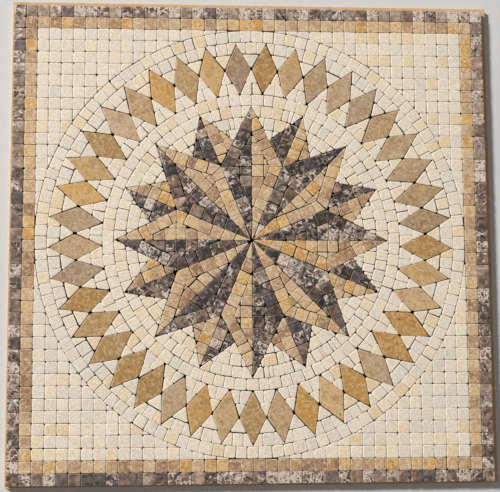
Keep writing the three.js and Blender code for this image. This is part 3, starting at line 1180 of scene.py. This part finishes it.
@dataclass
class Backing:
    """The plywood board and the bedding on it."""

    edge_round: float = 0.5 * MM
    saw_step: float = 12 * MM
    saw_waver: float = 0.25 * MM
    waver_scale: float = 30.0
    sharp_turn: float = 60.0
    reach_of_side: float = 1e-6

    def build(self) -> None:
        """Builds the board with slightly wavering sawn edges, and dresses the bedding where it lies."""
        low, high = (Vector(corner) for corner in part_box("backing_board"))
        mesh = bmesh.new()
        size = high - low
        place = Matrix.Translation((low + high) / 2) @ Matrix.Diagonal((*size, 1))
        bmesh.ops.create_cube(mesh, size=1, matrix=place)
        for axis in range(2):
            steps = round(size[axis] / self.saw_step)
            normal = Vector((axis == 0, axis == 1, 0))
            for step in range(1, steps):
                cut = low + normal * size[axis] * step / steps
                bmesh.ops.bisect_plane(
                    mesh, geom=whole(mesh), dist=CUT_TOLERANCE, plane_co=cut, plane_no=normal
                )
        for point in mesh.verts:
            for axis, other in ((0, 1), (1, 0)):
                side = 1 if point.co[axis] > 0 else -1
                if min(point.co[axis] - low[axis], high[axis] - point.co[axis]) < self.reach_of_side:
                    # Far apart in the noise, so that no two sides waver alike.
                    own_row = side * 7.0 + axis * 3.0
                    waver = abs(noise.noise(Vector((point.co[other] * self.waver_scale, own_row, 0))))
                    point.co[axis] -= side * waver * self.saw_waver
        sharp = [edge for edge in mesh.edges if edge.calc_face_angle(0) > math.radians(self.sharp_turn)]
        bmesh.ops.bevel(
            mesh, geom=sharp, offset=self.edge_round, segments=2, profile=0.5, affect="EDGES", material=-1
        )
        for side in mesh.faces:
            side.smooth = abs(side.normal.z) < 0.9
        add_piece("board_sheet", mesh, BOARD, ["backing_board"])
        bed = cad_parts["adhesive_bed"]
        bed.data.materials.clear()
        bed.data.materials.append(BEDDING.material())
        LOG.info("adhesive_bed: dressed in place")


@dataclass
class BorderRows:
    """The outer row of dark tiles and the gold row inside it."""

    plan: PanelPlan
    sides: tuple[str, ...] = ("top", "right", "bottom", "left")
    waver: float = 0.035

    def build(self) -> None:
        """Builds both rows, side by side as the frame has them."""
        rows = (("dark", DARK, Tones.DARK_BORDER), ("gold", GOLD, Tones.GOLD_BORDER))
        for row, (colour, finish, tones) in enumerate(rows):
            for index, side in enumerate(self.sides):
                self.build_run(StoneSheet(f"{colour}_border_{side}", finish, tones), row, index)

    def build_run(self, sheet: StoneSheet, row: int, index: int) -> None:
        """Builds one straight run, laid at the top and then turned to its side."""
        outer = self.plan.half - row * self.plan.pitch
        inner = outer - self.plan.pitch
        end = inner if index % 2 else outer
        corners = ((-end, inner, 0), (end, inner, 0), (end, outer, 0), (-end, outer, 0))
        tiles = sheet.plate([Vector(corner) for corner in corners])
        for step in range(1, round(2 * end / self.plan.pitch)):
            off = sheet.dice.uniform(-self.waver, self.waver) * self.plan.pitch
            place = -end + step * self.plan.pitch + off
            tiles = sheet.saw(tiles, Vector((place, 0, 0)), UP_THE_PANEL)
        sheet.turn(90 * index)
        sheet.finish_piece(self.plan)


@dataclass
class CornerFields:
    """The four cream fields between the border and the outer ring."""

    plan: PanelPlan
    places: tuple[str, ...] = ("top_right", "bottom_right", "bottom_left", "top_left")
    first_tile: int = 2
    waver: float = 0.3 * MM

    def build(self) -> None:
        """Builds one field for each corner."""
        for index, place in enumerate(self.places):
            self.build_field(f"corner_field_{place}", index)

    def build_field(self, node: str, index: int) -> None:
        """Builds one field at the top right and turns it to its corner."""
        plan = self.plan
        sheet = StoneSheet(node, CREAM, Tones.CREAM)
        near, far = self.first_tile * plan.pitch, plan.ring_radius
        corners = ((near, near, 0), (far, near, 0), (far, far, 0), (near, far, 0))
        tiles = sheet.plate([Vector(corner) for corner in corners])
        for step in range(1, round((far - near) / plan.pitch)):
            for along in (UP_THE_PANEL, Vector((1, 0, 0))):
                place = near + step * plan.pitch + sheet.dice.uniform(-1, 1) * self.waver
                tiles = sheet.saw(tiles, Vector((place, place, 0)), along)
        for tile in sheet.part(tiles):
            self.fit_to_ring(sheet, tile)
        sheet.turn(90 * index)
        sheet.finish_piece(plan)

    def fit_to_ring(self, sheet: StoneSheet, tile: BMFace) -> None:
        """Trims one tile where it would reach into the ring."""
        radius = self.plan.ring_radius
        if min(corner.co.length for corner in tile.verts) < radius:
            way = tile.calc_center_median().normalized()
            sheet.trim([tile], way * radius, -way)


@dataclass
class Rings:
    """The two rings of square tiles, the diamonds between them and the small tiles that fill in."""

    plan: PanelPlan
    row_depth: float = 15.4 * MM
    inner_row_depth: float = 16 * MM
    row_swing: tuple[float, float] = (0.95, 1.05)
    inner_row_swing: tuple[float, float] = (0.93, 1.07)
    arc_swing: tuple[float, float] = (0.95, 1.02)
    square: float = 15 * MM
    square_swing: tuple[float, float] = (0.9, 1.1)
    joint_waver: float = 0.1
    split_waver: float = 0.06
    corner_waver: float = 0.35
    sliver_share: float = 0.1
    sliver_place: float = 0.22
    diamond_lay: StoneLay = StoneLay(
        joints=mm(0.3, 0.5, 0.7, 1.0),
        corners=mm(2.0, 2.6, 3.2),
        nip=2.2 * MM,
        rims=mm(0.45, 0.6),
        shift=0.25 * MM,
        turn=0.8,
        tilt=0.25,
        pillow_margin=1.5 * MM,
    )
    loose_lay: StoneLay = StoneLay(
        joints=mm(0.1, 0.15, 0.25, 0.35, 0.55, 1.1),
        corners=mm(0.3, 0.45, 0.7, 1.0, 1.6),
        nip=2.1 * MM,
        sharp_turn=108.0,
        shift=0.12 * MM,
        turn=1.1,
    )
    ring_lay: StoneLay = StoneLay(joints=mm(0.1, 0.2, 0.35, 0.5, 0.85), shift=0.12 * MM, turn=0.8)

    def build(self) -> None:
        """Builds the outer ring, the diamonds and the inner ring with the star's ground."""
        self.build_outer_ring()
        self.build_diamonds()
        self.build_star_surround()

    def uneven_stops(self, sheet: StoneSheet, count: int, start: float, sweep: float) -> list[float]:
        """Gives the joints of a row of about equal tiles, as angles after its start."""
        step, waver = sweep / count, self.joint_waver
        places = [index + 1 + sheet.dice.uniform(-waver, waver) for index in range(count - 1)]
        return [*(start + step * place for place in places), start + sweep]

    def build_outer_ring(self) -> None:
        """Builds the outer ring and the tiles between it and the diamonds."""
        plan = self.plan
        sheet = StoneSheet("outer_ring", CREAM, Tones.CREAM, self.ring_lay, self.loose_lay)
        inner = plan.ring_radius - plan.outer_ring_width
        sheet.arc(inner, plan.ring_radius, 0, self.uneven_stops(sheet, plan.outer_ring_tiles, 0, 360))
        for index in range(plan.diamonds):
            self.fill_outside(sheet, index * plan.diamond_pitch, inner)
        sheet.finish_piece(plan)

    def fill_outside(self, sheet: StoneSheet, middle: float, outer: float) -> None:
        """Fills the gap between two diamonds, outside their side corners.

        Args:
            sheet: The sheet to lay on.
            middle: The angle of the gap's middle.
            outer: The radius of the ring outside.
        """
        plan = self.plan
        start, end = middle - plan.diamond_pitch / 2, middle + plan.diamond_pitch / 2
        split = outer - self.row_depth * sheet.dice.uniform(*self.row_swing)
        half_square = math.degrees(self.square / 2 / outer) * sheet.dice.uniform(*self.square_swing)
        row = sheet.arc(split, outer, start, [middle - half_square, middle + half_square, end])
        apex = sheet.arc(plan.waist - plan.pitch, split, start, [end])
        self.trim_to_diamonds(sheet, (row, apex), middle, plan.outer_tip)

    def trim_to_diamonds(
        self, sheet: StoneSheet, rows: Sequence[list[BMFace]], middle: float, tip: float
    ) -> None:
        """Trims rows of tiles to the two diamonds beside a gap.

        Args:
            sheet: The sheet that the tiles are on.
            rows: The rows.
            middle: The angle of the gap's middle.
            tip: The radius of the diamonds' tips on this side.
        """
        plan = self.plan
        corner = polar(plan.waist, middle)
        for tiles in rows:
            tiles = sheet.loosen(tiles)
            for side in (-1, 1):
                axis = middle + side * plan.diamond_pitch / 2
                away = beside(polar(tip, axis), corner, polar(plan.waist, axis))
                tiles = sheet.trim(tiles, corner, away)

    def build_diamonds(self) -> None:
        """Builds the diamonds, each a single stone with slightly uneven corners."""
        plan = self.plan
        sheet = StoneSheet("diamond_band", DIAMOND, Tones.DIAMOND, self.diamond_lay)
        half, waver = plan.diamond_pitch / 2, self.corner_waver
        radii = (plan.outer_tip, plan.waist, plan.inner_tip, plan.waist)
        for index in range(plan.diamonds):
            axis = (index + 0.5) * plan.diamond_pitch
            corners = [polar(radius, axis + turn) for radius, turn in zip(radii, (0, half, 0, -half))]
            for corner in corners:
                corner += Vector([sheet.dice.uniform(-waver, waver) * MM for _ in range(2)] + [0])
            sheet.plate(corners)
        sheet.finish_piece(plan)

    def build_star_surround(self) -> None:
        """Builds the inner ring, the tiles between it and the diamonds, and the ground round the star."""
        plan = self.plan
        sheet = StoneSheet("star_surround", CREAM, Tones.CREAM_INNER, self.ring_lay, self.loose_lay)
        inner = plan.inner_tip - plan.inner_ring_width
        sheet.arc(inner, plan.inner_tip, 0, self.uneven_stops(sheet, plan.inner_ring_tiles, 0, 360))
        for index in range(plan.diamonds):
            self.fill_inside(sheet, index * plan.diamond_pitch)
        for index in range(2 * plan.front_points):
            self.fill_ground(sheet, index, inner)
        sheet.finish_piece(plan)

    def fill_inside(self, sheet: StoneSheet, middle: float) -> None:
        """Fills the gap between two diamonds, inside their side corners."""
        plan = self.plan
        start, end = middle - plan.diamond_pitch / 2, middle + plan.diamond_pitch / 2
        split = plan.inner_tip + self.inner_row_depth * sheet.dice.uniform(*self.inner_row_swing)
        off = plan.diamond_pitch * sheet.dice.uniform(-self.split_waver, self.split_waver)
        row = sheet.arc(plan.inner_tip, split, start, [middle + off, end])
        apex = sheet.arc(split, plan.waist + plan.pitch, start, [end])
        self.trim_to_diamonds(sheet, (row, apex), middle, plan.inner_tip)

    def fill_ground(self, sheet: StoneSheet, index: int, outer: float) -> None:
        """Fills the ground between a front point and the rear point beside it with arcs of tiles."""
        plan = self.plan
        sector = plan.point_pitch / 2
        start = index * sector
        towards_rear = index % 2 == 0
        notch_angle = start + (plan.rear_notch_angle if towards_rear else sector - plan.rear_notch_angle)
        notch = polar(plan.notch_radius, notch_angle)
        tips = (polar(plan.star_radius, start), polar(plan.star_radius, start + sector))
        top = outer
        while top > plan.notch_radius:
            depth = plan.pitch * sheet.dice.uniform(*self.arc_swing)
            bottom = max(top - depth, plan.notch_radius - plan.pitch / 2)
            count = max(2, round(math.radians(sector) * top / plan.pitch))
            stops = self.uneven_stops(sheet, count, start, sector)
            tiles = sheet.loosen(sheet.arc(bottom, top, start, stops))
            for tip in tips:
                tiles = sheet.trim(tiles, notch, beside(tip, notch, ORIGIN))
            self.split_some(sheet, tiles)
            top = bottom

    def split_some(self, sheet: StoneSheet, tiles: Sequence[BMFace]) -> None:
        """Splits a few tiles of a row lengthwise, as where slivers made up its length."""
        for tile in tiles:
            if sheet.dice.random() < self.sliver_share:
                middle = tile.calc_center_median()
                along = middle.normalized()
                off = sheet.dice.uniform(-self.sliver_place, self.sliver_place)
                aside = Vector((-along.y, along.x, 0)) * off * self.plan.pitch
                sheet.saw([tile], middle + aside, along)


@dataclass
class CompassStar:
    """The star: on every point the anticlockwise half is dark and the clockwise half gold."""

    plan: PanelPlan
    strip: float = 15 * MM
    lay: StoneLay = StoneLay(
        joints=mm(0.1, 0.2, 0.3, 0.45, 0.75, 1.3),
        corners=mm(0.3, 0.45, 0.7, 1.3),
        nip=3.6 * MM,
        shift=0.12 * MM,
        turn=0.9,
    )
    centre_lead: float = 20 * MM
    tip_tail: float = 16 * MM

    def build(self) -> None:
        """Builds both halves of all the points."""
        halves = (("dark", DARK, Tones.DARK_STAR, -1), ("gold", GOLD, Tones.GOLD_STAR, 1))
        for index in range(self.plan.front_points):
            axis = index * self.plan.point_pitch
            for colour, finish, tones, side in halves:
                front = StoneSheet(f"front_point_{index + 1}_{colour}", finish, tones, self.lay)
                self.build_front_half(front, axis, side)
                rear = StoneSheet(f"rear_point_{index + 1}_{colour}", finish, tones, self.lay)
                self.build_rear_half(rear, axis + self.plan.point_pitch / 2, side)

    def build_front_half(self, sheet: StoneSheet, axis: float, side: int) -> None:
        """Builds half of a front point: a strip along each flank, mitred at the waist, and one by the axis.

        Args:
            sheet: The sheet to lay on.
            axis: The angle of the point's axis.
            side: 1 for the clockwise half and -1 for the other.
        """
        plan = self.plan
        valley = side * plan.point_pitch / 2
        eye, tip = polar(plan.star_eye_radius, 0), polar(plan.star_radius, 0)
        waist, valley_eye = polar(plan.front_waist_radius, valley), polar(plan.star_eye_radius, valley)
        outline = [eye, tip, waist, valley_eye]
        middle = (eye + tip) / 2
        from_valley = beside(valley_eye, waist, middle)
        from_flank = beside(waist, tip, middle)
        mitre_way = from_valley + from_flank
        mitre_side = beside(waist, waist + mitre_way, tip)

        inner = sheet.trim(sheet.plate(outline), waist + from_valley * self.strip, from_valley)
        inner = sheet.trim(inner, waist, mitre_side)
        sheet.saw_across(inner, valley_eye, waist, plan.pitch, lead=self.centre_lead)

        outer = sheet.trim(sheet.plate(outline), waist + from_flank * self.strip, from_flank)
        outer = sheet.trim(outer, waist, -mitre_side)
        sheet.saw_across(outer, waist, tip, plan.pitch, tail=self.tip_tail)

        core = sheet.trim(sheet.plate(outline), waist + from_valley * self.strip, -from_valley)
        core = sheet.trim(core, waist + from_flank * self.strip, -from_flank)
        reach = [corner.co.y for tile in core for corner in tile.verts]
        core = sheet.saw(core, Vector((side * self.strip, 0, 0)), UP_THE_PANEL)
        ends = (Vector((0, min(reach), 0)), Vector((0, max(reach), 0)))
        sheet.saw_across(core, *ends, plan.pitch, lead=self.strip, tail=self.strip)

        sheet.turn(axis)
        sheet.finish_piece(plan)

    def build_rear_half(self, sheet: StoneSheet, axis: float, side: int) -> None:
        """Builds half of a rear point: a strip along the axis and smaller tiles beside it."""
        plan = self.plan
        root, tip = polar(plan.front_waist_radius, 0), polar(plan.star_radius, 0)
        notch = polar(plan.notch_radius, side * (plan.point_pitch / 2 - plan.rear_notch_angle))
        outline = [root, tip, notch]
        edge = Vector((side * self.strip, 0, 0))
        outwards = Vector((side, 0, 0))

        by_axis = sheet.trim(sheet.plate(outline), edge, outwards)
        sheet.saw_across(by_axis, root, tip, plan.pitch, lead=self.strip, tail=self.tip_tail)

        beyond = sheet.trim(sheet.plate(outline), edge, -outwards)
        reach = [corner.co.y for tile in beyond for corner in tile.verts]
        sheet.saw_across(beyond, Vector((0, min(reach), 0)), Vector((0, max(reach), 0)), 0.9 * plan.pitch)

        sheet.turn(axis)
        sheet.finish_piece(plan)


@dataclass
class Studio:
    """The pale floor, soft light and the camera that looks down as the photograph does."""

    floor_side: float = 30.0
    floor_gap: float = 0.2 * MM
    camera_place: tuple[float, float, float] = (-94.5 * MM, -170.1 * MM, 1417.0 * MM)
    camera_turn: tuple[float, float, float] = (6.644, -3.711, -0.312)
    picture_width: float = 500.0
    focal_length: float = 1128.1  # in pixels of the picture
    sensor: float = 36.0
    room_colour: tuple[float, float, float, float] = (0.97, 0.97, 1.0, 1.0)
    room_strength: float = 0.19

    def build(self, plan: PanelPlan) -> None:
        """Builds the floor, the lights and the camera."""
        self.build_floor()
        self.build_lights()
        self.build_camera(plan)

    def build_floor(self) -> None:
        """Lays the floor under the panel."""
        mesh = bmesh.new()
        level = Matrix.Translation((0, 0, -self.floor_gap))
        bmesh.ops.create_grid(mesh, x_segments=1, y_segments=1, size=self.floor_side / 2, matrix=level)
        make_object("studio_floor", mesh, FLOOR)

    def build_lights(self) -> None:
        """Hangs a large key light at the upper left and a weaker one opposite, in a pale room."""
        for name, place, size, power in (
            ("key_light", Vector((-6.3, 4.5, 7.2)), 1.5, 1240.0),
            ("fill_light", Vector((1.8, -1.2, 2.0)), 2.4, 3.0),
        ):
            data = bpy.data.lights.new(name, "AREA")
            data.size = size
            data.energy = power
            lamp = link_object(name, data)
            lamp.location = place
            lamp.rotation_euler = (-place).to_track_quat("-Z", "Y").to_euler()
        world = bpy.data.worlds.new("room")
        world.use_nodes = True
        background = world.node_tree.nodes["Background"]
        background.inputs["Color"].default_value = self.room_colour
        background.inputs["Strength"].default_value = self.room_strength
        bpy.context.scene.world = world
        bpy.context.scene.view_settings.view_transform = "Standard"

    def build_camera(self, plan: PanelPlan) -> None:
        """Sets the camera above the panel's lower left, where the photograph was taken from."""
        data = bpy.data.cameras.new("camera")
        data.sensor_width = self.sensor
        data.lens = self.focal_length / self.picture_width * self.sensor
        camera = link_object("camera", data)
        camera.location = Vector(self.camera_place) + plan.centre
        camera.rotation_euler = [math.radians(angle) for angle in self.camera_turn]
        bpy.context.scene.camera = camera


def main() -> None:
    """Builds the panel piece by piece, then the studio."""
    logging.basicConfig(level=logging.INFO, format="%(name)s: %(message)s")
    plan = PanelPlan()
    Backing().build()
    BorderRows(plan).build()
    CornerFields(plan).build()
    Rings(plan).build()
    CompassStar(plan).build()
    Studio().build(plan)


if __name__ == "__main__":
    main()
